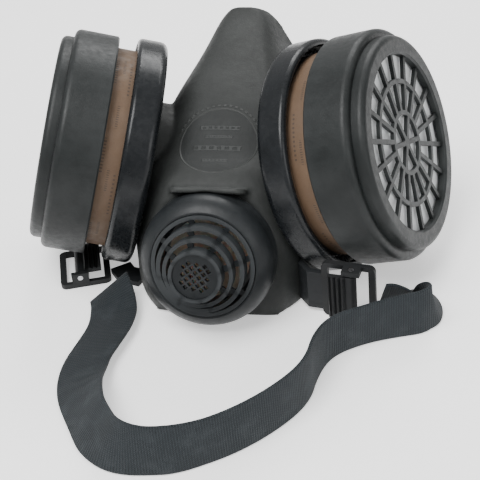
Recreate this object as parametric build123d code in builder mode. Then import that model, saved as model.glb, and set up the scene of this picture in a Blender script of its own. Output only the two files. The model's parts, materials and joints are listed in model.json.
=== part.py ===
"""Twin-filter half-mask respirator, standing on its two filter sockets and its chin.

Row frame, millimetres: +X to the wearer's left (the viewer's right), +Y towards the
wearer's face, +Z up. The mask leans back by `lean` degrees, so most pieces are placed
in the mask's own frame (across, back, up) through the plane `mask`, and each filter's
pieces are placed along that filter's axis.
"""
import os
from math import cos, radians, sin, tan

from build123d import *

os.makedirs("parts", exist_ok=True)

# ---------------------------------------------------------------- stance
lean = 35.0                 # how far the mask leans back from upright
stand_height = 50.0         # height of the mask's own origin above the table
shift_y = 3.417               # moves the standing mask to the middle of its box

# ---------------------------------------------------------------- filters
filter_yaw = 69.7           # filter axis, turned outwards from straight ahead
filter_rise = 7.5           # and tipped upwards
rim_across = 53.0           # middle plane of the mask to the cap's open edge, on the axis
running_gap = 0.3           # between pieces that pull apart

cup_outer_r, cup_bore_r = 46.0, 40.9
cup_floor, cup_rim = -19.7, -7.5        # places along the filter axis, from the cap's edge
cup_floor_thick = 2.5
cup_mouth, cup_mouth_deep = 2.6, 5.0    # gap round the cartridge at the cup's rim, and how deep

can_r, can_wall = 40.0, 1.2
can_inner, can_outer = -15.0, 13.0
can_lip, can_lip_high = 2.4, 0.8        # rolled rim that holds the retaining screen
bed_top = 4.0                           # top of the carbon bed, under the particle filter
label_thick = 0.5
label_from, label_to = -9.5, 2.5

cap_r, cap_bore_r = 45.0, 40.9
cap_shoulder, cap_face = 17.8, 22.8
cap_front_r, cap_frame = 41.5, 15.0
grille_r = 34.2
pad_r, pad_outer = 37.2, 19.4           # prefilter pad, clamped behind the grille's frame
grille_ring_radii = (11.7, 23.9)
grille_inner_spokes, grille_outer_spokes = 6, 18
rib_width, rib_depth, rib_recess = 1.8, 1.5, 1.6

inlet_r = 16.8              # inhalation valve barrel
inlet_flap_r, flap_thick = 15.0, 0.8
inlet_inner_end = -31.0
inlet_seat_r, inlet_seat_thick = 20.5, 1.5
inlet_bore_r = 14.6

# ---------------------------------------------------------------- exhalation valve
valve_dip = 18.0            # valve axis, below straight ahead in the mask's frame
valve_forward, valve_up = 46.3, -51.2   # front of the cover, in the mask's frame
valve_base = -27.0          # facepiece's seating face, along the valve axis
housing_r, housing_lip_r = 26.0, 21.0
housing_shoulder, housing_front = -20.5, -12.6
housing_ledge_r, housing_ledge = 20.3, -14.6    # the cover's flange drops in here
housing_bore_r = 19.2
outlet_r, outlet_bore_r = 13.8, 11.9
outlet_flap_r = 15.8

# ---------------------------------------------------------------- facepiece
wall = 3.0
seal_lip = 6.0              # how far the face seal turns inwards
neck_r, neck_root = 22.0, -32.0         # necks that carry the filter sockets
hem_wide, hem_deep, hem_thick = 30.0, 11.0, 2.2
hem_forward, hem_up = 29.5, -20.0       # middle of the hem, in the mask's frame
# Sections of the rubber shell, from nose to chin, in the mask's frame:
# up, half width at the front, front, half width at the back, back
stations = (
    (62.0, 4.0, -24.5, 8.5, -34.0),
    (54.0, 7.5, -19.5, 16.0, -39.0),
    (42.0, 9.5, -10.5, 23.0, -45.0),
    (28.0, 13.0, 0.0, 32.0, -49.0),
    (12.0, 16.5, 10.5, 40.0, -52.0),
    (-4.0, 18.5, 19.0, 44.0, -52.0),
    (-18.0, 21.0, 28.5, 45.0, -48.0),
    (-30.0, 25.0, 27.0, 43.5, -42.0),
    (-42.0, 27.0, 22.2, 41.0, -26.5),
    (-54.0, 27.0, 17.4, 36.0, -7.5),
    (-66.0, 23.0, 12.6, 25.0, 7.5),
)
nose_hollow = (49.0, 7.0, -17.5, 17.0, -41.5)   # top of the breathing space, same order

# ---------------------------------------------------------------- harness
strap_width, strap_thick = 20.0, 1.4
buckle_long, buckle_wide, buckle_high = 21.0, 25.0, 2.2


# ---------------------------------------------------------------- frames
def place(across, back, up):
    """A point given in the mask's own frame, in the row frame."""
    c, s = cos(radians(lean)), sin(radians(lean))
    return Vector(across, back * c + up * s + shift_y, stand_height - back * s + up * c)


def heading(across, back, up):
    """A direction given in the mask's own frame, in the row frame."""
    return place(across, back, up) - place(0, 0, 0)


mask = Plane(origin=place(0, 0, 0), x_dir=(1, 0, 0), z_dir=heading(0, 0, 1))


def filter_heading(side):
    """Outward direction of one filter's axis; side is -1 (left) or 1 (right)."""
    yaw, rise = radians(filter_yaw), radians(filter_rise)
    return heading(side * sin(yaw) * cos(rise), -cos(yaw) * cos(rise), sin(rise))


def filter_point(side, along):
    return place(side * rim_across, 0, 0) + filter_heading(side) * along


def filter_up(side):
    """Direction across the filter's axis that points most nearly upwards."""
    axis = filter_heading(side)
    flat = Vector(0, 0, 1) - axis * axis.Z
    return flat * (1 / flat.length)


def filter_plane(side, along):
    """Plane across the filter's axis, facing outwards."""
    return Plane(origin=filter_point(side, along), x_dir=filter_up(side), z_dir=filter_heading(side))


def filter_section(side):
    """Plane through the filter's axis: x is the radius, y the place along the axis."""
    out = filter_up(side)
    return Plane(origin=filter_point(side, 0), x_dir=out, z_dir=out.cross(filter_heading(side)))


def filter_axis(side):
    return Axis(filter_point(side, 0), filter_heading(side))


valve_heading = heading(0, -cos(radians(valve_dip)), -sin(radians(valve_dip)))
valve_front = place(0, -valve_forward, valve_up)
valve_across = Vector(1, 0, 0)


def valve_plane(along):
    """Plane across the exhalation valve's axis, facing forwards."""
    return Plane(origin=valve_front + valve_heading * along, x_dir=valve_across, z_dir=valve_heading)


valve_section = Plane(origin=valve_front, x_dir=valve_across, z_dir=valve_across.cross(valve_heading))
valve_axis = Axis(valve_front, valve_heading)


def finish(part, name):
    """Label one piece and write it to its own file."""
    part.label = name
    export_step(part, f"parts/{name}.step")


# ---------------------------------------------------------------- facepiece
def shell_section(up, front_half, front, back_half, back, inset=0.0):
    """One closed section of the rubber shell, drawn inwards by `inset`."""
    tip = front - inset
    corner = max(front_half - 0.7 * inset, 1.0)
    cheek = max(back_half - inset, 2.0)
    rear = back + inset
    shoulder = tip - 0.16 * corner
    middle = 0.5 * (corner + cheek) + 0.06 * (tip - rear)
    half_way = 0.5 * (shoulder + rear)
    with BuildSketch(mask.offset(up)) as section:
        with BuildLine():
            Spline(
                (-cheek, -rear), (-middle, -half_way), (-corner, -shoulder), (0, -tip),
                (corner, -shoulder), (middle, -half_way), (cheek, -rear),
            )
            Line((cheek, -rear), (-cheek, -rear))
        make_face()
    return section.sketch


def opening_section(up, back_half, back):
    """One section of the face opening, inside the turned-in seal."""
    with BuildSketch(mask.offset(up)) as section:
        with Locations((0, -back)):
            Rectangle(2 * (back_half - wall - seal_lip), 24)
    return section.sketch


with BuildPart() as facepiece:
    loft(sections=[shell_section(*station) for station in stations])
    # necks that carry the filter sockets, and the flat boss behind the exhalation valve
    for side in (-1, 1):
        with BuildSketch(filter_plane(side, neck_root)):
            Circle(neck_r)
        extrude(amount=cup_floor - neck_root)
    with BuildSketch(valve_plane(valve_base - 6)):
        Circle(housing_r - 1)
    extrude(amount=6)
    # hem along the lower edge of the front panel, over the valve housing
    with BuildSketch(mask.offset(hem_up)):
        with Locations((0, -hem_forward)):
            RectangleRounded(hem_wide, hem_deep, 4)
    extrude(amount=hem_thick)
    # breathing space
    hollow = (nose_hollow,) + stations[2:-1]
    loft(sections=[shell_section(*station, wall) for station in hollow], mode=Mode.SUBTRACT)
    # face opening, inside the turned-in seal
    opening = [opening_section(station[0], station[3], station[4]) for station in stations[2:9]]
    loft(sections=opening, mode=Mode.SUBTRACT)
    # seating faces and bores of the valves
    with BuildSketch(valve_plane(valve_base)):
        Circle(housing_r + 0.4)
    extrude(amount=40, mode=Mode.SUBTRACT)
    with BuildSketch(valve_plane(valve_base - 12)):
        Circle(outlet_r + 0.2)
    extrude(amount=14, mode=Mode.SUBTRACT)
    for side in (-1, 1):
        with BuildSketch(filter_plane(side, cup_floor)):
            Circle(cup_outer_r + running_gap)
        extrude(amount=30, mode=Mode.SUBTRACT)
        with BuildSketch(filter_plane(side, inlet_inner_end - 6)):
            Circle(inlet_r + 0.2)
        extrude(amount=30, mode=Mode.SUBTRACT)
    # the underside lies flat on the table
    with BuildSketch(Plane.XY):
        Rectangle(200, 200)
    extrude(amount=-60, mode=Mode.SUBTRACT)
finish(facepiece.part, "facepiece")


# ---------------------------------------------------------------- exhalation valve
housing_plate = valve_base + 2.0
seat_flange_r, seat_top = 17.4, valve_base + 2.2
stem_r, knob_r = 2.0, 3.2

with BuildPart() as valve_housing:
    with BuildSketch(valve_section):
        with BuildLine():
            Polyline((housing_lip_r, housing_front), (housing_ledge_r, housing_front),
                     (housing_ledge_r, housing_ledge), (housing_bore_r, housing_ledge),
                     (housing_bore_r, housing_plate), (seat_flange_r + 0.2, housing_plate),
                     (seat_flange_r + 0.2, valve_base), (housing_r, valve_base),
                     (housing_r, housing_shoulder))
            RadiusArc((housing_r, housing_shoulder), (housing_lip_r, housing_front), -9.0)
        make_face()
    revolve(axis=valve_axis)
finish(valve_housing.part, "valve_housing")

with BuildPart() as exhalation_seat:
    with BuildSketch(valve_section):
        with BuildLine():
            Polyline((outlet_bore_r, valve_base - 7), (outlet_r, valve_base - 7),
                     (outlet_r, valve_base), (seat_flange_r, valve_base),
                     (seat_flange_r, seat_top), (outlet_bore_r, seat_top), close=True)
        make_face()
    revolve(axis=valve_axis)
    with BuildSketch(valve_plane(valve_base - 2)):
        Circle(4)
        with PolarLocations(0, 4):
            with Locations((outlet_bore_r / 2 + 0.3, 0)):
                Rectangle(outlet_bore_r, 2)
    extrude(amount=2)
    with BuildSketch(valve_plane(valve_base)):
        Circle(stem_r)
    extrude(amount=6)
    with BuildSketch(valve_plane(valve_base + 6)):
        Circle(knob_r)
    extrude(amount=1.2)
finish(exhalation_seat.part, "exhalation_seat")

with BuildPart() as exhalation_flap:
    with BuildSketch(valve_plane(seat_top + 0.1)):
        Circle(outlet_flap_r)
        Circle(stem_r + 0.1, mode=Mode.SUBTRACT)
    extrude(amount=flap_thick)
    with BuildSketch(valve_plane(seat_top + 0.1 + flap_thick)):
        Circle(4)
        Circle(stem_r + 0.1, mode=Mode.SUBTRACT)
    extrude(amount=0.6)
finish(exhalation_flap.part, "exhalation_flap")

# Cover: stepped rings joined by short bridges, each ring further forward than the last
# (outer radius, inner radius, and where it starts and ends along the valve axis)
cover_steps = ((20.0, 18.4, -14.4, -12.2), (16.9, 15.2, -13.6, -8.2), (13.4, 11.9, -9.6, -4.2))
cover_disc_r, cover_disc_thick = 10.1, 2.0
cover_hub = (cover_disc_r, cover_disc_r - 1.5, -5.6, 0.0)
bridge_count, bridge_width, bridge_thick, bridge_turn = 8, 2.2, 1.0, 12.0
lattice_pitch, lattice_hole, lattice_r, lattice_turn = 2.2, 1.5, 6.4, 35.0

with BuildPart() as valve_cover:
    for outer_r, inner_r, low, high in cover_steps + (cover_hub,):
        with BuildSketch(valve_plane(low)):
            Circle(outer_r)
            Circle(inner_r, mode=Mode.SUBTRACT)
        extrude(amount=high - low)
    with BuildSketch(valve_plane(-cover_disc_thick)) as disc:
        Circle(cover_disc_r)
        cells = [((i - 2.5) * lattice_pitch, (j - 2.5) * lattice_pitch) for i in range(6) for j in range(6)]
        turn = radians(lattice_turn)
        holes = [(x * cos(turn) - y * sin(turn), x * sin(turn) + y * cos(turn)) for x, y in cells
                 if (x * x + y * y) ** 0.5 < lattice_r]
        with Locations(*holes):
            Rectangle(lattice_hole, lattice_hole, rotation=lattice_turn, mode=Mode.SUBTRACT)
    extrude(amount=cover_disc_thick - 0.5)
    for outer_ring, inner_ring in zip(cover_steps, cover_steps[1:] + (cover_hub,)):
        reach_from, reach_to = inner_ring[1] + 0.6, outer_ring[1] + 0.8
        with BuildSketch(valve_plane(inner_ring[2])):
            with PolarLocations((reach_from + reach_to) / 2, bridge_count, bridge_turn):
                Rectangle(reach_to - reach_from, bridge_width)
        extrude(amount=bridge_thick)
finish(valve_cover.part, "valve_cover")


# ---------------------------------------------------------------- filters
def screen_holes(rings, pitch):
    """Centres of holes on `rings` circles round a central one, `pitch` apart."""
    centres = [(0.0, 0.0)]
    for ring in range(1, rings + 1):
        for step in range(6 * ring):
            angle = radians(60.0 * step / ring)
            centres.append((ring * pitch * cos(angle), ring * pitch * sin(angle)))
    return centres


for side, hand in ((-1, "left"), (1, "right")):
    with BuildPart() as cup:
        with BuildSketch(filter_section(side)):
            with BuildLine():
                Polyline((cup_outer_r, cup_floor + 3), (cup_outer_r, cup_rim - 2))
                RadiusArc((cup_outer_r, cup_rim - 2), (cup_outer_r - 2, cup_rim), -2)
                Polyline((cup_outer_r - 2, cup_rim), (cup_bore_r + cup_mouth, cup_rim),
                         (cup_bore_r + cup_mouth - 0.4, cup_rim - 0.7 * cup_mouth_deep),
                         (cup_bore_r, cup_rim - cup_mouth_deep),
                         (cup_bore_r, cup_floor + cup_floor_thick),
                         (inlet_r + 0.2, cup_floor + cup_floor_thick), (inlet_r + 0.2, cup_floor),
                         (cup_outer_r - 3, cup_floor))
                RadiusArc((cup_outer_r - 3, cup_floor), (cup_outer_r, cup_floor + 3), -3)
            make_face()
        revolve(axis=filter_axis(side))
    finish(cup.part, f"{hand}_cup")

    seat_base = cup_floor + cup_floor_thick
    with BuildPart() as inhalation_seat:
        with BuildSketch(filter_section(side)):
            with BuildLine():
                Polyline((inlet_bore_r, inlet_inner_end), (inlet_r, inlet_inner_end),
                         (inlet_r, seat_base), (inlet_seat_r, seat_base),
                         (inlet_seat_r, seat_base + inlet_seat_thick),
                         (inlet_bore_r, seat_base + inlet_seat_thick), close=True)
            make_face()
        revolve(axis=filter_axis(side))
        with BuildSketch(filter_plane(side, inlet_inner_end)):
            Circle(3.5)
            with PolarLocations(0, 4, 45):
                with Locations((inlet_bore_r / 2 + 0.3, 0)):
                    Rectangle(inlet_bore_r, 2)
        extrude(amount=1.6)
        with BuildSketch(filter_plane(side, inlet_inner_end)):
            Circle(1.5)
        extrude(amount=-3.2)
        with BuildSketch(filter_plane(side, inlet_inner_end - 3.2)):
            Circle(2.4)
        extrude(amount=-0.8)
    finish(inhalation_seat.part, f"{hand}_inhalation_seat")

    with BuildPart() as inhalation_flap:
        with BuildSketch(filter_plane(side, inlet_inner_end - 0.1)):
            Circle(inlet_flap_r + 0.8)
            Circle(1.6, mode=Mode.SUBTRACT)
        extrude(amount=-flap_thick)
    finish(inhalation_flap.part, f"{hand}_inhalation_flap")

    with BuildPart() as gasket:
        with BuildSketch(filter_section(side)):
            with Locations((31, seat_base + 0.95)):
                RectangleRounded(13, 1.9, 0.6)
        revolve(axis=filter_axis(side))
    finish(gasket.part, f"{hand}_gasket")

    with BuildPart() as can:
        with BuildSketch(filter_section(side)):
            with BuildLine():
                Polyline((0, can_inner), (can_r, can_inner), (can_r, can_outer),
                         (can_r - can_lip, can_outer), (can_r - can_lip, can_outer - can_lip_high),
                         (can_r - can_wall, can_outer - can_lip_high),
                         (can_r - can_wall, can_inner + can_wall), (0, can_inner + can_wall), close=True)
            make_face()
        revolve(axis=filter_axis(side))
        with BuildSketch(filter_plane(side, can_inner - 1)):
            with Locations(*screen_holes(2, 5.2)):
                Circle(1.5)
        extrude(amount=4, mode=Mode.SUBTRACT)
    finish(can.part, f"{hand}_cartridge")

    with BuildPart() as label_band:
        with BuildSketch(filter_plane(side, label_from)):
            Circle(can_r + label_thick)
            Circle(can_r, mode=Mode.SUBTRACT)
        extrude(amount=label_to - label_from)
    finish(label_band.part, f"{hand}_label_band")

    bed_from, screen_top, screen_thick = can_inner + can_wall, can_outer - can_lip_high, 1.0
    with BuildPart() as carbon_bed:
        with BuildSketch(filter_plane(side, bed_from)):
            Circle(can_r - can_wall)
        extrude(amount=bed_top - bed_from)
    finish(carbon_bed.part, f"{hand}_carbon_bed")

    with BuildPart() as particle_filter:
        with BuildSketch(filter_plane(side, bed_top)):
            Circle(can_r - can_wall)
        extrude(amount=screen_top - screen_thick - bed_top)
    finish(particle_filter.part, f"{hand}_particle_filter")

    with BuildPart() as screen:
        with BuildSketch(filter_plane(side, screen_top - screen_thick)):
            Circle(can_r - can_wall)
            with Locations(*screen_holes(5, 6.6)):
                Circle(2.1, mode=Mode.SUBTRACT)
        extrude(amount=screen_thick)
    finish(screen.part, f"{hand}_retaining_screen")

    with BuildPart() as prefilter_pad:
        with BuildSketch(filter_plane(side, can_outer + running_gap)):
            Circle(pad_r)
        extrude(amount=pad_outer - can_outer - running_gap)
    finish(prefilter_pad.part, f"{hand}_prefilter_pad")

    with BuildPart() as cap:
        with BuildSketch(filter_section(side)):
            with BuildLine():
                Polyline((cap_bore_r, 0), (cap_r - 0.6, 0), (cap_r, 0.6), (cap_r, cap_shoulder - 2.6))
                RadiusArc((cap_r, cap_shoulder - 2.6), (cap_r - 2.6, cap_shoulder), -2.6)
                Polyline((cap_r - 2.6, cap_shoulder), (cap_front_r, cap_shoulder),
                         (cap_front_r, cap_face - 2.4))
                RadiusArc((cap_front_r, cap_face - 2.4), (cap_front_r - 2.4, cap_face), -2.4)
                Polyline((cap_front_r - 2.4, cap_face), (grille_r + 0.8, cap_face),
                         (grille_r, cap_face - 0.8), (grille_r, pad_outer),
                         (pad_r + 0.2, pad_outer), (pad_r + 0.2, cap_frame),
                         (cap_bore_r, cap_frame), (cap_bore_r, 0))
            make_face()
        revolve(axis=filter_axis(side))
        with BuildSketch(filter_plane(side, cap_face - rib_recess - rib_depth)):
            for ring_r in reversed(grille_ring_radii):
                Circle(ring_r + rib_width / 2)
                Circle(ring_r - rib_width / 2, mode=Mode.SUBTRACT)
            Circle(2.4)
            with PolarLocations(grille_ring_radii[0] / 2, grille_inner_spokes, 10):
                Rectangle(grille_ring_radii[0], rib_width)
            outer_span = grille_r + 0.6 - grille_ring_radii[0]
            with PolarLocations(grille_ring_radii[0] + outer_span / 2, grille_outer_spokes):
                Rectangle(outer_span, rib_width)
        extrude(amount=rib_depth)
        # small pip at the open edge, below and to the front
        with BuildSketch(filter_plane(side, 0.8)):
            with PolarLocations(cap_r, 1, 180 + side * 48):
                Rectangle(2.4, 3.2)
        extrude(amount=2.6)
    finish(cap.part, f"{hand}_cap")


# ---------------------------------------------------------------- harness
buckle_bar, buckle_side, post_long, post_high = 2.6, 2.0, 7.0, 4.4
pin_r, pin_along, pin_lift = 1.1, 2.0, 2.4      # lever pin, in the buckle's own frame
lever_r, lever_thick, lever_reach, tooth = 1.9, 1.6, 9.0, 1.0
lug_thick = 2.4


def buckle_frame(hand, lift=0.0):
    """Back face of a buckle, raised by `lift`; x runs towards the strap's end."""
    if hand == "left":      # lies flat under the left filter
        heading_deg, origin, facing = 200.0, Vector(-62.5, -19 + shift_y, 0.2), Vector(0, 0, 1)
    else:                   # stands on edge beside the chin
        heading_deg, origin = -8.0, Vector(53, -41 + shift_y, buckle_wide / 2 + 0.2)
        turn = radians(heading_deg - 90)
        facing = Vector(cos(turn), sin(turn), 0)
    along = Vector(cos(radians(heading_deg)), sin(radians(heading_deg)), 0)
    return Plane(origin=origin + facing * lift, x_dir=along, z_dir=facing)


def buckle_side_view(hand, across):
    """Plane across the buckle's pin: x runs towards the strap's end, y away from its back."""
    base = buckle_frame(hand)
    return Plane(origin=base.origin + base.y_dir * across, x_dir=base.x_dir, z_dir=-base.y_dir)


lug_routes = {
    "left": ((-35, -25 + shift_y), (-43, -23 + shift_y), (-46.8, -18.2 + shift_y)),
    "right": ((31.5, -31 + shift_y), (37, -38.4 + shift_y), (42.4, -39.3 + shift_y)),
}
lug_base = {"left": 0.2, "right": 2.0}
lug_height = {"left": lug_thick, "right": 17.0}
lug_width = {"left": 9.0, "right": lug_thick}
pin_height = buckle_high + pin_lift

for hand in ("left", "right"):
    with BuildPart() as buckle:
        with BuildSketch(buckle_frame(hand)):
            RectangleRounded(buckle_long, buckle_wide, 2.5)
            slot_long = (buckle_long - 3 * buckle_bar) / 2
            offset_x = (slot_long + buckle_bar) / 2
            with Locations((-offset_x, 0), (offset_x, 0)):
                Rectangle(slot_long, strap_width + 1, mode=Mode.SUBTRACT)
        extrude(amount=buckle_high)
        post_y = (buckle_wide - buckle_side) / 2
        with BuildSketch(buckle_frame(hand)):
            with Locations((pin_along, post_y), (pin_along, -post_y)):
                Rectangle(post_long, buckle_side)
        extrude(amount=buckle_high + post_high)
        with BuildSketch(buckle_side_view(hand, -buckle_wide)):
            with Locations((pin_along, pin_height)):
                Circle(pin_r)
        extrude(amount=-2 * buckle_wide, mode=Mode.SUBTRACT)
    finish(buckle.part, f"{hand}_buckle")

    with BuildPart() as pin:
        with BuildSketch(buckle_side_view(hand, -buckle_wide / 2)):
            with Locations((pin_along, pin_height)):
                Circle(pin_r)
        extrude(amount=-buckle_wide)
    finish(pin.part, f"{hand}_buckle_pin")

    lever_wide = strap_width - 0.4
    with BuildPart() as lever:
        with BuildSketch(buckle_side_view(hand, -lever_wide / 2)):
            with Locations((pin_along, pin_height)):
                Circle(lever_r)
            with Locations((pin_along - lever_reach / 2, pin_height + lever_r - lever_thick / 2)):
                Rectangle(lever_reach, lever_thick)
            for step in range(4):
                with Locations((pin_along - lever_reach + 0.8 + 1.9 * step, pin_height + lever_r)):
                    RegularPolygon(tooth, 3, rotation=90)
            with Locations((pin_along, pin_height)):
                Circle(pin_r + 0.06, mode=Mode.SUBTRACT)
        extrude(amount=-lever_wide)
    finish(lever.part, f"{hand}_buckle_lever")

    with BuildPart() as lug:
        with BuildSketch(Plane.XY.offset(lug_base[hand])):
            with BuildLine() as route:
                Polyline(*lug_routes[hand])
            trace(line_width=lug_width[hand])
        extrude(amount=lug_height[hand])
        add(facepiece.part, mode=Mode.SUBTRACT)
    outer_piece = lug.part.solids().sort_by(SortBy.VOLUME)[-1]
    finish(outer_piece, f"{hand}_lug")

# ---------------------------------------------------------------- strap
# Middle line of the elastic strap, seen from above; it stands on its edge on the table
strap_route = (
    (-45.5, -38.5), (-41, -47), (-39.3, -58), (-41, -70), (-42.8, -82), (-40.5, -95), (-34.5, -108),
    (-27.5, -120.5), (-16, -131), (1, -131.5), (18, -123), (33, -109), (43.5, -93), (44.5, -77.5),
    (49, -66.5), (61, -58.5), (73, -53), (81.5, -50), (85.5, -44.5), (82, -38.5), (74, -37), (65.5, -41),
)
strap_points = [(x, y + shift_y) for x, y in strap_route]


def bend_radii(points):
    """The largest arc each corner of a route leaves room for."""
    radii = []
    for before, here, after in zip(points, points[1:], points[2:]):
        run_in = Vector(*here) - Vector(*before)
        run_out = Vector(*after) - Vector(*here)
        turn = radians(run_in.get_angle(run_out))
        radii.append(0.45 * min(run_in.length, run_out.length) / tan(turn / 2))
    return radii


strap_radii = bend_radii(strap_points)
print("strap bend radii", [round(radius, 1) for radius in strap_radii])

with BuildPart() as strap:
    with BuildSketch(Plane.XY.offset(0.1)):
        with BuildLine() as route:
            FilletPolyline(*strap_points, radius=strap_radii)
        trace(line_width=strap_thick)
    extrude(amount=strap_width)
finish(strap.part, "strap")
print("strap length", round(sum(edge.length for edge in route.edges()), 1))
print("strap volume over its section", round(strap.part.volume / strap_width / strap_thick, 1))
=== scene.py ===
import json
import math

import bpy
from mathutils import Matrix, Vector, noise


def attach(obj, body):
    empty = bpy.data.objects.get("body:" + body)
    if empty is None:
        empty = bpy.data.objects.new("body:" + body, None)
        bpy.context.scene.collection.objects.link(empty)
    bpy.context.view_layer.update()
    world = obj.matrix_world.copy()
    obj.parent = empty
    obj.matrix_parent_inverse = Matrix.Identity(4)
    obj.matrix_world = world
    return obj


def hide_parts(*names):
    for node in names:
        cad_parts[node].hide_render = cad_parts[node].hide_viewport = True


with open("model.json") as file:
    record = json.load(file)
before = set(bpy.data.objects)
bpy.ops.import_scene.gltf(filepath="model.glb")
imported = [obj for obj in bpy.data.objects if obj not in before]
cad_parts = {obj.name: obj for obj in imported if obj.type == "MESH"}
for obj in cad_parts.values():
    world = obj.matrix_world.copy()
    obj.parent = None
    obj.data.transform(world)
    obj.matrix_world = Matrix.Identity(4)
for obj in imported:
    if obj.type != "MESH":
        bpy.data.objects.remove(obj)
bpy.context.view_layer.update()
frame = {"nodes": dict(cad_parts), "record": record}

MM = 0.001
nodes = frame["nodes"]
HANDS = {"left": -1, "right": 1}


# ---------------------------------------------------------------- camera
CAMERA_PLACE = Vector((101.2, -388.2, 279.1)) * MM
CAMERA_AZIMUTH, CAMERA_ELEVATION, CAMERA_ROLL = 14.3, 34.15, -6.1
CAMERA_LENS = 86.25


def make_camera():
    az, el, roll = (math.radians(a) for a in (CAMERA_AZIMUTH, CAMERA_ELEVATION, CAMERA_ROLL))
    back = Vector((math.sin(az) * math.cos(el), -math.cos(az) * math.cos(el), math.sin(el)))
    level = Vector((math.cos(az), math.sin(az), 0))
    right = level * math.cos(roll) + back.cross(level) * math.sin(roll)
    up = back.cross(right)
    camera = bpy.data.objects.new("camera", bpy.data.cameras.new("camera"))
    camera.data.lens = CAMERA_LENS
    camera.data.sensor_width = 36
    camera.data.clip_start = 0.01
    camera.matrix_world = Matrix((right, up, back)).transposed().to_4x4()
    camera.location = CAMERA_PLACE
    bpy.context.collection.objects.link(camera)
    bpy.context.scene.camera = camera


make_camera()


# ---------------------------------------------------------------- the mask's own frame
LEAN, STAND_HEIGHT, SHIFT_Y = 35.0, 50.0, 3.417


def place(across, forward, up):
    """A point of the mask's own frame, given in millimetres, in the row frame."""
    c, s = math.cos(math.radians(LEAN)), math.sin(math.radians(LEAN))
    return Vector((across, up * s - forward * c + SHIFT_Y, STAND_HEIGHT + forward * s + up * c)) * MM


def turned(across, forward, up):
    """A direction of the mask's own frame, in the row frame."""
    return (place(across, forward, up) - place(0, 0, 0)).normalized()


FILTER_YAW, FILTER_RISE, RIM_ACROSS = 69.7, 7.5, 53.0


def filter_axis(side):
    yaw, rise = math.radians(FILTER_YAW), math.radians(FILTER_RISE)
    return turned(side * math.sin(yaw) * math.cos(rise), math.cos(yaw) * math.cos(rise), math.sin(rise))


def filter_point(side, along):
    return place(side * RIM_ACROSS, 0, 0) + filter_axis(side) * along * MM


def filter_up(side):
    axis = filter_axis(side)
    return (Vector((0, 0, 1)) - axis * axis.z).normalized()


# ---------------------------------------------------------------- mesh helpers
def shade_smooth(mesh):
    for face in mesh.polygons:
        face.use_smooth = True


def new_piece(name, mesh):
    piece = bpy.data.objects.new(name, mesh)
    bpy.context.collection.objects.link(piece)
    shade_smooth(mesh)
    return piece


def mesh_from(name, verts, faces):
    mesh = bpy.data.meshes.new(name)
    mesh.from_pydata([tuple(v) for v in verts], [], faces)
    mesh.update()
    return new_piece(name, mesh)


def apply_modifiers(piece):
    """Replaces a piece's mesh by what its modifiers make of it."""
    graph = bpy.context.evaluated_depsgraph_get()
    mesh = bpy.data.meshes.new_from_object(piece.evaluated_get(graph))
    piece.modifiers.clear()
    piece.data = mesh


def fit_piece(piece, body, material, slot, *replaced):
    piece.data.materials.clear()
    piece.data.materials.append(material)
    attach(piece, body)
    if replaced:
        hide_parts(*replaced)


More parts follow.
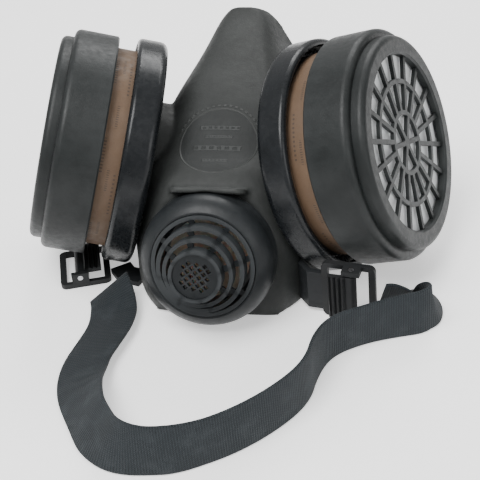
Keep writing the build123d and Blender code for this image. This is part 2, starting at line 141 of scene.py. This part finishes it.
# ---------------------------------------------------------------- materials
class Finish:
    """Builds one procedural material, node by node."""

    def __init__(self, name, colour, roughness, specular=0.5):
        self.material = bpy.data.materials.new(name)
        self.material.use_nodes = True
        self.tree = self.material.node_tree
        self.shader = self.tree.nodes["Principled BSDF"]
        self.shader.inputs["Base Color"].default_value = (*colour, 1)
        self.shader.inputs["Roughness"].default_value = roughness
        self.shader.inputs["Specular IOR Level"].default_value = specular
        self.height = None
        self.where = self.node("ShaderNodeTexCoord").outputs["Object"]

    def node(self, kind, **settings):
        made = self.tree.nodes.new(kind)
        for key, value in settings.items():
            setattr(made, key, value)
        return made

    def link(self, out, into):
        self.tree.links.new(out, into)

    def noise(self, size, detail=4, rough=0.55, where=None, kind="FBM"):
        made = self.node("ShaderNodeTexNoise", noise_type=kind)
        made.inputs["Scale"].default_value = 1 / (size * MM)
        made.inputs["Detail"].default_value = detail
        made.inputs["Roughness"].default_value = rough
        self.link(where or self.where, made.inputs["Vector"])
        return made.outputs["Fac"]

    def ramp(self, value, low, high, to_low=0.0, to_high=1.0):
        made = self.node("ShaderNodeMapRange", interpolation_type="SMOOTHSTEP")
        for key, number in (("From Min", low), ("From Max", high), ("To Min", to_low), ("To Max", to_high)):
            made.inputs[key].default_value = number
        self.link(value, made.inputs["Value"])
        return made.outputs["Result"]

    def math(self, operation, a, b=0.0):
        made = self.node("ShaderNodeMath", operation=operation)
        for socket, value in zip(made.inputs, (a, b)):
            if isinstance(value, (int, float)):
                socket.default_value = value
            else:
                self.link(value, socket)
        return made.outputs["Value"]

    def tint(self, factor, colour, blend="MIX"):
        """Mixes another colour over the base where factor is high."""
        mix = self.node("ShaderNodeMix", data_type="RGBA", blend_type=blend)
        base = self.shader.inputs["Base Color"]
        if base.is_linked:
            self.link(base.links[0].from_socket, mix.inputs["A"])
        else:
            mix.inputs["A"].default_value = base.default_value
        mix.inputs["B"].default_value = (*colour, 1)
        self.link(factor, mix.inputs["Factor"])
        self.link(mix.outputs["Result"], base)
        return self

    def rough(self, value, low, high):
        made = self.ramp(value, 0.3, 0.7, low, high)
        self.link(made, self.shader.inputs["Roughness"])
        return self

    def bump(self, height, depth_mm, strength=1.0):
        made = self.node("ShaderNodeBump")
        made.inputs["Distance"].default_value = depth_mm * MM
        made.inputs["Strength"].default_value = strength
        self.link(height, made.inputs["Height"])
        if self.height is not None:
            self.link(self.height, made.inputs["Normal"])
        self.height = made.outputs["Normal"]
        self.link(self.height, self.shader.inputs["Normal"])
        return self

    def upward(self, low=0.2, high=0.95):
        """High on faces that look up."""
        geometry = self.node("ShaderNodeNewGeometry")
        split = self.node("ShaderNodeSeparateXYZ")
        self.link(geometry.outputs["Normal"], split.inputs["Vector"])
        return self.ramp(split.outputs["Z"], low, high)

    def reach(self, centre, direction):
        """Distance in millimetres from a point, measured along a direction."""
        offset = self.node("ShaderNodeVectorMath", operation="SUBTRACT")
        self.link(self.where, offset.inputs[0])
        offset.inputs[1].default_value = tuple(centre)
        made = self.node("ShaderNodeVectorMath", operation="DOT_PRODUCT")
        self.link(offset.outputs["Vector"], made.inputs[0])
        made.inputs[1].default_value = tuple(v / MM for v in direction)
        return made.outputs["Value"]

    def radius(self, a, b):
        return self.math("SQRT", self.math("ADD", self.math("MULTIPLY", a, a), self.math("MULTIPLY", b, b)))

    def band(self, value, middle, half, soft=0.15):
        """High where value is within half of middle."""
        away = self.math("ABSOLUTE", self.math("SUBTRACT", value, middle))
        return self.ramp(away, half + soft, half - soft)

    def both(self, a, b):
        return self.math("MULTIPLY", a, b)

    def worn_edge(self, low=0.53, high=0.6):
        geometry = self.node("ShaderNodeNewGeometry")
        return self.ramp(geometry.outputs["Pointiness"], low, high)


def moulded(name, colour, roughness, grain=0.5, depth=0.05, dust_and_top_light=0.35, wear=0.3, specular=0.24):
    """Moulded rubber or plastic: fine grain, cloudy bloom, specks paler on faces that look up (real dust
    with painted top light) and paler edges.
    """
    f = Finish(name, colour, roughness, specular)
    cloud = f.noise(14, 5)
    pale = tuple(min(1, c * 1.5 + 0.006) for c in colour)
    dark = tuple(c * 0.55 for c in colour)
    f.tint(f.ramp(cloud, 0.35, 0.7, 0.0, 0.55), pale)
    f.tint(f.ramp(f.noise(4, 4), 0.5, 0.75, 0.0, 0.4), dark)
    # Specks paler on faces that look up: real dust, with painted top light from above.
    if dust_and_top_light:
        speck = f.noise(0.7, 3, 0.7)
        dust_and_top_light_mask = f.math("MULTIPLY", f.upward(), f.ramp(speck, 0.42, 0.72, 0.15, dust_and_top_light))
        f.tint(dust_and_top_light_mask, tuple(c * 2.2 + 0.02 for c in colour))
    if wear:
        f.tint(f.math("MULTIPLY", f.worn_edge(), wear), tuple(min(1, c * 3 + 0.03) for c in colour))
    f.rough(f.noise(2.2, 4), roughness - 0.04, roughness + 0.08)
    f.bump(f.noise(grain, 3, 0.6), depth)
    f.bump(f.noise(grain * 9, 3, 0.5), depth * 3, 0.6)
    return f


PANEL_CENTRE = place(0, 16.4, 1.0)
PANEL_TILT = 32.0           # how far the front panel slopes back in the mask's frame
DISC_R = 15.4
# mould marks on the round field: height above its middle, half width, pitch
MARK_ROWS = ((6.6, 8.0, 2.3), (2.6, 5.5, 1.1), (-2.6, 9.5, 3.1), (-9.0, 5.0, 1.5))
MARK_SOFT = 0.12


def facepiece_finish():
    """Grained rubber, with a round recessed field, its dashed rim and generic mould marks."""
    f = moulded("facepiece_rubber", (0.0155, 0.017, 0.0163), 0.52, 0.42, 0.09, 0.25, 0.3)
    tilt = math.radians(PANEL_TILT)
    rise = turned(0, -math.sin(tilt), math.cos(tilt))
    out = turned(0, math.cos(tilt), math.sin(tilt))
    x, y = f.reach(PANEL_CENTRE, (1, 0, 0)), f.reach(PANEL_CENTRE, rise)
    near = f.band(f.reach(PANEL_CENTRE, out), 0, 9, 1)
    r = f.radius(x, y)
    field = f.both(near, f.ramp(r, DISC_R + 0.25, DISC_R - 0.25))
    angle = f.math("ARCTAN2", y, x)
    dashes = f.ramp(f.math("SINE", f.math("MULTIPLY", angle, 46)), -0.5, 0.1)
    arc = f.both(f.both(near, f.band(r, DISC_R + 1.7, 0.45)), f.both(f.ramp(y, 5, 8), dashes))
    rim = f.both(near, f.band(r, DISC_R, 0.3))
    marks = None
    for height, half_wide, pitch in MARK_ROWS:
        tall = 0.28 * pitch + 0.25
        stroke = f.ramp(f.math("SINE", f.math("MULTIPLY", x, 2 * math.pi / pitch)), -0.2, 0.3)
        whole = f.band(y, height, tall, MARK_SOFT)
        cut_out = f.both(f.band(y, height, tall - 0.4, MARK_SOFT), stroke)
        edges = f.math("SUBTRACT", whole, cut_out)
        row = f.both(edges, f.band(x, 0, half_wide, 0.2))
        marks = row if marks is None else f.math("ADD", marks, row)
    marks = f.both(marks, near)
    # The round field is painted darker: painted shade in its shallow recess.
    f.tint(f.both(field, 0.6), (0.012, 0.0135, 0.0135))
    f.tint(f.both(marks, 0.5), (0.05, 0.053, 0.052))
    f.tint(f.both(arc, 0.5), (0.055, 0.058, 0.056))
    # The field's edge is painted paler: a painted highlight along the recess's rim.
    f.tint(f.both(rim, 0.3), (0.05, 0.053, 0.05))
    sunk = f.math("SUBTRACT", f.both(marks, 0.5), f.both(field, 0.6))
    raised = f.math("ADD", arc, f.both(rim, 0.4))
    relief = f.math("ADD", sunk, raised)
    f.bump(relief, 0.35)
    return f


def woven(name, colour):
    """Elastic webbing: ribs across the strap, warp threads along it, fuzz."""
    f = Finish(name, colour, 0.85, 0.15)
    uv = f.node("ShaderNodeUVMap", uv_map="UVMap").outputs["UV"]
    split = f.node("ShaderNodeSeparateXYZ")
    f.link(uv, split.inputs["Vector"])
    along, across = split.outputs["X"], split.outputs["Y"]
    weft = f.math("SINE", f.math("MULTIPLY", along, 2 * math.pi / 0.95))
    warp = f.math("SINE", f.math("MULTIPLY", across, 2 * math.pi / 0.8))
    check = f.math("MULTIPLY", weft, warp)
    height = f.math("ADD", f.math("MULTIPLY", weft, 0.5), f.math("MULTIPLY", check, 0.5))
    # Painted shade in the weave's hollows and a painted highlight on its crowns: darker where the weave is
    # low, paler where it is high.
    f.tint(f.ramp(height, -0.9, -0.1, 0.75, 0.0), tuple(c * 0.35 for c in colour))
    f.tint(f.ramp(height, 0.3, 1.0, 0.0, 0.5), tuple(c * 1.9 + 0.01 for c in colour))
    f.tint(f.ramp(f.noise(6, 4), 0.45, 0.75, 0.0, 0.4), tuple(c * 1.5 + 0.01 for c in colour))
    f.tint(f.ramp(f.noise(0.25, 2), 0.62, 0.8, 0.0, 0.4), (0.09, 0.09, 0.09))
    f.shader.inputs["Sheen Weight"].default_value = 0.06
    f.shader.inputs["Sheen Roughness"].default_value = 0.5
    f.bump(height, 0.12)
    f.bump(f.noise(0.3, 2), 0.08)
    return f


# rows of print on the label band: place along the axis, pitch, half height, length of a group
PRINT_ROWS = ((-0.4, 1.3, 0.75, 9.0), (-3.6, 0.9, 0.5, 6.0), (-6.2, 1.7, 0.4, 12.0))
LABEL_HAIRLINES = (1.6, -8.6)
LABEL_SEAM = 20.0           # round the band, from its top


def paper_label(name, colour):
    """Printed paper band: an overlap seam, two hairlines and rows of meaningless tick marks."""
    f = Finish(name, colour, 0.6, 0.4)
    split = f.node("ShaderNodeSeparateXYZ")
    f.link(f.node("ShaderNodeUVMap", uv_map="band").outputs["UV"], split.inputs["Vector"])
    round_it, along = split.outputs["X"], split.outputs["Y"]
    ink = (0.03, 0.02, 0.014)
    for middle, pitch, tall, gate in PRINT_ROWS:
        stroke = f.ramp(f.math("SINE", f.math("MULTIPLY", round_it, 2 * math.pi / pitch)), 0.0, 0.4)
        group = f.ramp(f.math("SINE", f.math("MULTIPLY", round_it, 2 * math.pi / (gate * 4.1))), 0.35, 0.45)
        f.tint(f.both(f.both(stroke, group), f.both(f.band(along, middle, tall, 0.1), 0.85)), ink)
    for edge in LABEL_HAIRLINES:
        f.tint(f.both(f.band(along, edge, 0.12, 0.06), 0.7), ink)
    f.tint(f.both(f.band(round_it, LABEL_SEAM, 0.14, 0.1), 0.8), (0.1, 0.05, 0.025))
    f.tint(f.ramp(f.noise(0.6, 4), 0.4, 0.7, 0.0, 0.35), tuple(c * 0.75 for c in colour))
    f.tint(f.ramp(f.noise(9, 4), 0.5, 0.75, 0.0, 0.35), tuple(min(1, c * 1.35) for c in colour))
    f.tint(f.ramp(f.noise(3, 6), 0.6, 0.8, 0.0, 0.4), (0.12, 0.075, 0.045))
    f.rough(f.noise(3), 0.5, 0.72)
    f.bump(f.noise(0.35, 3), 0.03)
    return f


def felt(name, colour):
    f = Finish(name, colour, 0.95, 0.2)
    fibres = f.noise(0.45, 6, 0.7, kind="RIDGED_MULTIFRACTAL")
    # Painted shade between the fibres: darker where the fibre relief is low.
    f.tint(f.ramp(fibres, 0.3, 1.2, 0.5, 0.0), tuple(c * 0.6 for c in colour))
    f.tint(f.ramp(f.noise(5, 4), 0.45, 0.7, 0.0, 0.35), tuple(c * 0.78 for c in colour))
    f.shader.inputs["Sheen Weight"].default_value = 0.4
    f.bump(fibres, 0.25)
    return f


def granular(name, colour):
    f = Finish(name, colour, 0.7)
    cells = f.node("ShaderNodeTexVoronoi")
    cells.inputs["Scale"].default_value = 1 / (1.4 * MM)
    f.link(f.where, cells.inputs["Vector"])
    f.tint(f.ramp(cells.outputs["Distance"], 0.2, 0.7), tuple(c * 3 for c in colour))
    f.bump(cells.outputs["Distance"], -0.7)
    return f


def drawn_steel(name, colour):
    f = Finish(name, colour, 0.32)
    f.shader.inputs["Metallic"].default_value = 1.0
    f.tint(f.ramp(f.noise(1.2, 5), 0.5, 0.75, 0.0, 0.6), (0.22, 0.21, 0.2))
    f.rough(f.noise(0.5, 3), 0.25, 0.45)
    f.bump(f.noise(0.3, 2), 0.01)
    return f


def silicone(name, colour):
    f = Finish(name, colour, 0.4)
    f.shader.inputs["Subsurface Weight"].default_value = 0.3
    f.shader.inputs["Subsurface Scale"].default_value = 0.002
    f.tint(f.ramp(f.noise(3, 4), 0.45, 0.75, 0.0, 0.4), tuple(c * 0.7 for c in colour))
    f.rough(f.noise(2), 0.35, 0.5)
    f.bump(f.noise(0.5, 3), 0.02)
    return f


FINISHES = {
    "facepiece_rubber": facepiece_finish(),
    "housing_rubber": moulded("housing_rubber", (0.007, 0.0085, 0.0095), 0.4, 0.4, 0.045, 0.3, 0.3),
    "socket_rubber": moulded("socket_rubber", (0.005, 0.006, 0.007), 0.25, 0.8, 0.02, 0.1, 0.25),
    "gasket_rubber": moulded("gasket_rubber", (0.02, 0.02, 0.02), 0.6, 0.5, 0.04, 0.0, 0.2),
    "lug_rubber": moulded("lug_rubber", (0.006, 0.007, 0.008), 0.5, 0.5, 0.05, 0.2, 0.2, 0.2),
    "cover_plastic": moulded("cover_plastic", (0.006, 0.0075, 0.0085), 0.36, 0.4, 0.03, 0.3, 0.5),
    "cap_plastic": moulded("cap_plastic", (0.0075, 0.009, 0.009), 0.42, 0.38, 0.05, 0.35, 0.4),
    "valve_plastic": moulded("valve_plastic", (0.1, 0.1, 0.1), 0.45, 0.5, 0.02, 0.0, 0.2),
    "can_plastic": moulded("can_plastic", (0.018, 0.018, 0.02), 0.35, 0.6, 0.015, 0.0, 0.2),
    "screen_plastic": moulded("screen_plastic", (0.08, 0.08, 0.08), 0.5, 0.5, 0.02, 0.1, 0.2),
    "buckle_plastic": moulded("buckle_plastic", (0.003, 0.0035, 0.004), 0.45, 0.5, 0.03, 0.15, 0.3, 0.2),
    "label": paper_label("label", (0.105, 0.064, 0.037)),
    "carbon": granular("carbon", (0.012, 0.012, 0.012)),
    "filter_medium": felt("filter_medium", (0.72, 0.7, 0.64)),
    "prefilter_felt": felt("prefilter_felt", (0.88, 0.9, 0.91)),
    "flap_silicone": silicone("flap_silicone", (0.5, 0.43, 0.33)),
    "pin_steel": drawn_steel("pin_steel", (0.5, 0.5, 0.52)),
    "webbing": woven("webbing", (0.018, 0.022, 0.025)),
}

SLOT_OF = {row["node"]: row["material_slot"] for row in frame["record"]["subparts"]}
for node_name, node in nodes.items():
    node.data.materials.clear()
    node.data.materials.append(FINISHES[SLOT_OF[node_name]].material)


BAND_R = 40.5


def wrap_band(side, node):
    """Writes each corner's place round the filter and along its axis into a UV layer."""
    axis, up, start = filter_axis(side), filter_up(side), filter_point(side, 0)
    across = up.cross(axis)
    layer = node.data.uv_layers.get("band") or node.data.uv_layers.new(name="band")
    for face in node.data.polygons:
        first = None
        for loop in face.loop_indices:
            where = node.matrix_world @ node.data.vertices[node.data.loops[loop].vertex_index].co - start
            angle = math.atan2(where.dot(across), where.dot(up))
            if first is None:
                first = angle
            angle += 2 * math.pi * round((first - angle) / (2 * math.pi))
            layer.data[loop].uv = (angle * BAND_R, where.dot(axis) / MM)


for hand, side in HANDS.items():
    wrap_band(side, nodes[hand + "_label_band"])


# ---------------------------------------------------------------- prefilter pads
PAD_R, PAD_FROM, PAD_TO = 37.2, 13.3, 19.4
PAD_RINGS, PAD_SPOKES = 30, 120


def build_pad(hand, side):
    """Fibrous pad: a slack disc that bulges a little between the grille's ribs."""
    axis, up = filter_axis(side), filter_up(side)
    across = axis.cross(up)
    verts, faces = [], []

    def add(r, turn, along):
        a = 2 * math.pi * turn / PAD_SPOKES
        verts.append(filter_point(side, along) + (up * math.cos(a) + across * math.sin(a)) * r * MM)

    def top(r, turn):
        a = 2 * math.pi * turn / PAD_SPOKES
        lump = noise.noise(Vector((r * math.cos(a) / 7, r * math.sin(a) / 7, side * 4.0)))
        fine = noise.noise(Vector((r * math.cos(a) / 1.6, r * math.sin(a) / 1.6, side * 9.0)))
        return PAD_TO - 0.75 + 0.45 * lump + 0.12 * fine

    for ring in range(1, PAD_RINGS + 1):
        r = (PAD_R - 0.5) * ring / PAD_RINGS
        for turn in range(PAD_SPOKES):
            add(r, turn, top(r, turn))
    rim = ((PAD_R - 0.1, PAD_TO - 1.6), (PAD_R - 0.1, PAD_FROM + 0.8), (PAD_R - 0.8, PAD_FROM + 0.1))
    for r, along in rim:
        for turn in range(PAD_SPOKES):
            add(r, turn, along)
    rows = PAD_RINGS + len(rim)
    for row in range(rows - 1):
        for turn in range(PAD_SPOKES):
            step = (turn + 1) % PAD_SPOKES
            faces.append((row * PAD_SPOKES + turn, (row + 1) * PAD_SPOKES + turn,
                          (row + 1) * PAD_SPOKES + step, row * PAD_SPOKES + step))
    add(0, 0, top(0, 0))
    add(0, 0, PAD_FROM + 0.1)
    for turn in range(PAD_SPOKES):
        step = (turn + 1) % PAD_SPOKES
        faces.append((len(verts) - 2, turn, step))
        faces.append((len(verts) - 1, (rows - 1) * PAD_SPOKES + step, (rows - 1) * PAD_SPOKES + turn))
    piece = mesh_from(hand + "_fibre_pad", verts, faces)
    fit_piece(piece, hand + "_cap", FINISHES["prefilter_felt"].material,
              "prefilter_felt", hand + "_prefilter_pad")


for hand, side in HANDS.items():
    build_pad(hand, side)


# ---------------------------------------------------------------- strap
STRAP_WIDTH, STRAP_THICK = 20.0, 1.4
STRAP_ROUTE = (
    (-45.5, -38.5), (-41, -47), (-39.3, -58), (-41, -70), (-42.8, -82), (-40.5, -95), (-34.5, -108),
    (-27.5, -120.5), (-16, -131), (1, -131.5), (18, -123), (33, -109), (43.5, -93), (44.5, -77.5),
    (49, -66.5), (61, -58.5), (73, -53), (81.5, -50), (85.5, -44.5), (82, -38.5), (74, -37), (65.5, -41),
)
# how far the strap leans from upright, in degrees, at places along its length; 90 lies flat
STRAP_LEAN = ((0.0, 58), (0.06, 78), (0.17, 76), (0.31, 42), (0.43, 6), (0.5, 0), (0.7, 0), (0.8, -6),
              (0.9, 0), (0.95, 56), (1.0, 30))
STRAP_LIFTED = ((0.0, 0), (0.86, 0), (0.93, 1), (1.0, 1))     # 1 where its middle stays at mid height


def route_line(name, points, order=3):
    """Points along the smooth line that a route's NURBS spline gives."""
    curve = bpy.data.curves.new(name, "CURVE")
    curve.dimensions = "3D"
    spline = curve.splines.new("NURBS")
    spline.points.add(len(points) - 1)
    for point, where in zip(spline.points, points):
        point.co = (*where, 1)
    spline.order_u = order
    spline.use_endpoint_u = True
    spline.resolution_u = 16
    holder = bpy.data.objects.new(name, curve)
    bpy.context.collection.objects.link(holder)
    bpy.context.view_layer.update()
    graph = bpy.context.evaluated_depsgraph_get()
    mesh = bpy.data.meshes.new_from_object(holder.evaluated_get(graph))
    line = [v.co.copy() for v in mesh.vertices]
    bpy.data.objects.remove(holder)
    return line


def along_table(table, t):
    """Smooth value at t from (place, value) pairs."""
    for (t0, v0), (t1, v1) in zip(table, table[1:]):
        if t <= t1:
            k = (t - t0) / (t1 - t0)
            k = k * k * (3 - 2 * k)
            return v0 + (v1 - v0) * k
    return table[-1][1]


def build_strap():
    middle = STRAP_WIDTH / 2 + 0.1
    route = [Vector((x, y + SHIFT_Y, middle)) * MM for x, y in STRAP_ROUTE]
    line = route_line("strap_line", route)
    lengths = [0.0]
    for a, b in zip(line, line[1:]):
        lengths.append(lengths[-1] + (b - a).length)
    total = lengths[-1]
    half_w, half_t = STRAP_WIDTH / 2, STRAP_THICK / 2
    edge_r, corner_steps = 0.55, 4
    outline = []
    for corner_x, corner_y, start in ((half_w, half_t, 0), (-half_w, half_t, 90),
                                      (-half_w, -half_t, 180), (half_w, -half_t, 270)):
        for step in range(corner_steps):
            a = math.radians(start + 90 / (corner_steps - 1) * step)
            outline.append((corner_x - math.copysign(edge_r, corner_x) + edge_r * math.cos(a),
                            corner_y - math.copysign(edge_r, corner_y) + edge_r * math.sin(a)))
    verts, faces, uvs = [], [], []
    n = len(outline)
    for i, here in enumerate(line):
        before, after = line[max(i - 1, 0)], line[min(i + 1, len(line) - 1)]
        run = (after - before).normalized()
        level = Vector((run.y, -run.x, 0)).normalized()
        lean = math.radians(along_table(STRAP_LEAN, lengths[i] / total))
        wide = (Vector((0, 0, 1)) * math.cos(lean) + level * -math.sin(lean)).normalized()
        thick = wide.cross(run).normalized()
        lifted = along_table(STRAP_LIFTED, lengths[i] / total)
        low_side = half_w * abs(math.cos(lean)) + half_t * abs(math.sin(lean))
        drop = (half_w - low_side) * MM * (1 - lifted)
        base = here - Vector((0, 0, drop))
        for x, y in outline:
            verts.append(base + wide * (x * MM) + thick * (y * MM))
            uvs.append((lengths[i] / MM, x))
    for i in range(len(line) - 1):
        for j in range(n):
            k = (j + 1) % n
            faces.append((i * n + j, i * n + k, (i + 1) * n + k, (i + 1) * n + j))
    faces.append(tuple(range(n - 1, -1, -1)))
    last = (len(line) - 1) * n
    faces.append(tuple(range(last, last + n)))
    piece = mesh_from("head_strap", verts, faces)
    layer = piece.data.uv_layers.new(name="UVMap")
    for loop in piece.data.loops:
        layer.data[loop.index].uv = uvs[loop.vertex_index]
    fit_piece(piece, "root", FINISHES["webbing"].material, "webbing", "strap")


build_strap()


# ---------------------------------------------------------------- facepiece
SHELL_VOXEL, SHELL_SMOOTHING = 0.8, 6


def moulded_copy(name, node_name, voxel, rounds):
    """A copy of a CAD node with its edges rounded off, as rubber comes out of a mould."""
    piece = new_piece(name, nodes[node_name].data.copy())
    remesh = piece.modifiers.new("remesh", "REMESH")
    remesh.mode = "VOXEL"
    remesh.voxel_size = voxel * MM
    remesh.use_smooth_shade = True
    smooth = piece.modifiers.new("smooth", "SMOOTH")
    smooth.factor = 0.5
    smooth.iterations = rounds
    apply_modifiers(piece)
    shade_smooth(piece.data)
    return piece


shell = moulded_copy("rubber_facepiece", "facepiece", SHELL_VOXEL, SHELL_SMOOTHING)
fit_piece(shell, "root", FINISHES["facepiece_rubber"].material, "facepiece_rubber", "facepiece")


# ---------------------------------------------------------------- stage and light
def make_stage():
    floor = mesh_from("floor", [(-3, -3, 0), (3, -3, 0), (3, 3, 0), (-3, 3, 0)], [(0, 1, 2, 3)])
    f = Finish("floor", (0.92, 0.92, 0.92), 0.7, 0.3)
    f.shader.inputs["Emission Color"].default_value = (1, 1, 1, 1)
    f.shader.inputs["Emission Strength"].default_value = 0.6
    f.bump(f.noise(3, 2), 0.02)
    f.tint(f.ramp(f.noise(400, 2), 0.4, 0.7, 0.0, 0.2), (0.88, 0.88, 0.88))
    floor.data.materials.append(f.material)


def soft_light(name, place_at, aim, size, power):
    lamp = bpy.data.lights.new(name, "AREA")
    lamp.shape = "RECTANGLE"
    lamp.size, lamp.size_y = size
    lamp.energy = power
    holder = bpy.data.objects.new(name, lamp)
    bpy.context.collection.objects.link(holder)
    holder.location = place_at
    toward = Vector(aim) - Vector(place_at)
    holder.rotation_euler = toward.to_track_quat("-Z", "Y").to_euler()


make_stage()
MASK_MIDDLE = (0, 0, 0.04)
soft_light("key", (-0.25, -0.5, 1.1), MASK_MIDDLE, (0.7, 0.7), 20)
soft_light("fill", (0.9, -0.7, 0.6), MASK_MIDDLE, (0.6, 0.6), 4)
soft_light("back", (0.1, 0.9, 0.9), (0, 0, 0.05), (0.9, 0.5), 10)
world = bpy.data.worlds.new("world")
bpy.context.scene.world = world
world.use_nodes = True
world.node_tree.nodes["Background"].inputs["Color"].default_value = (1, 1, 1, 1)
world.node_tree.nodes["Background"].inputs["Strength"].default_value = 0.58
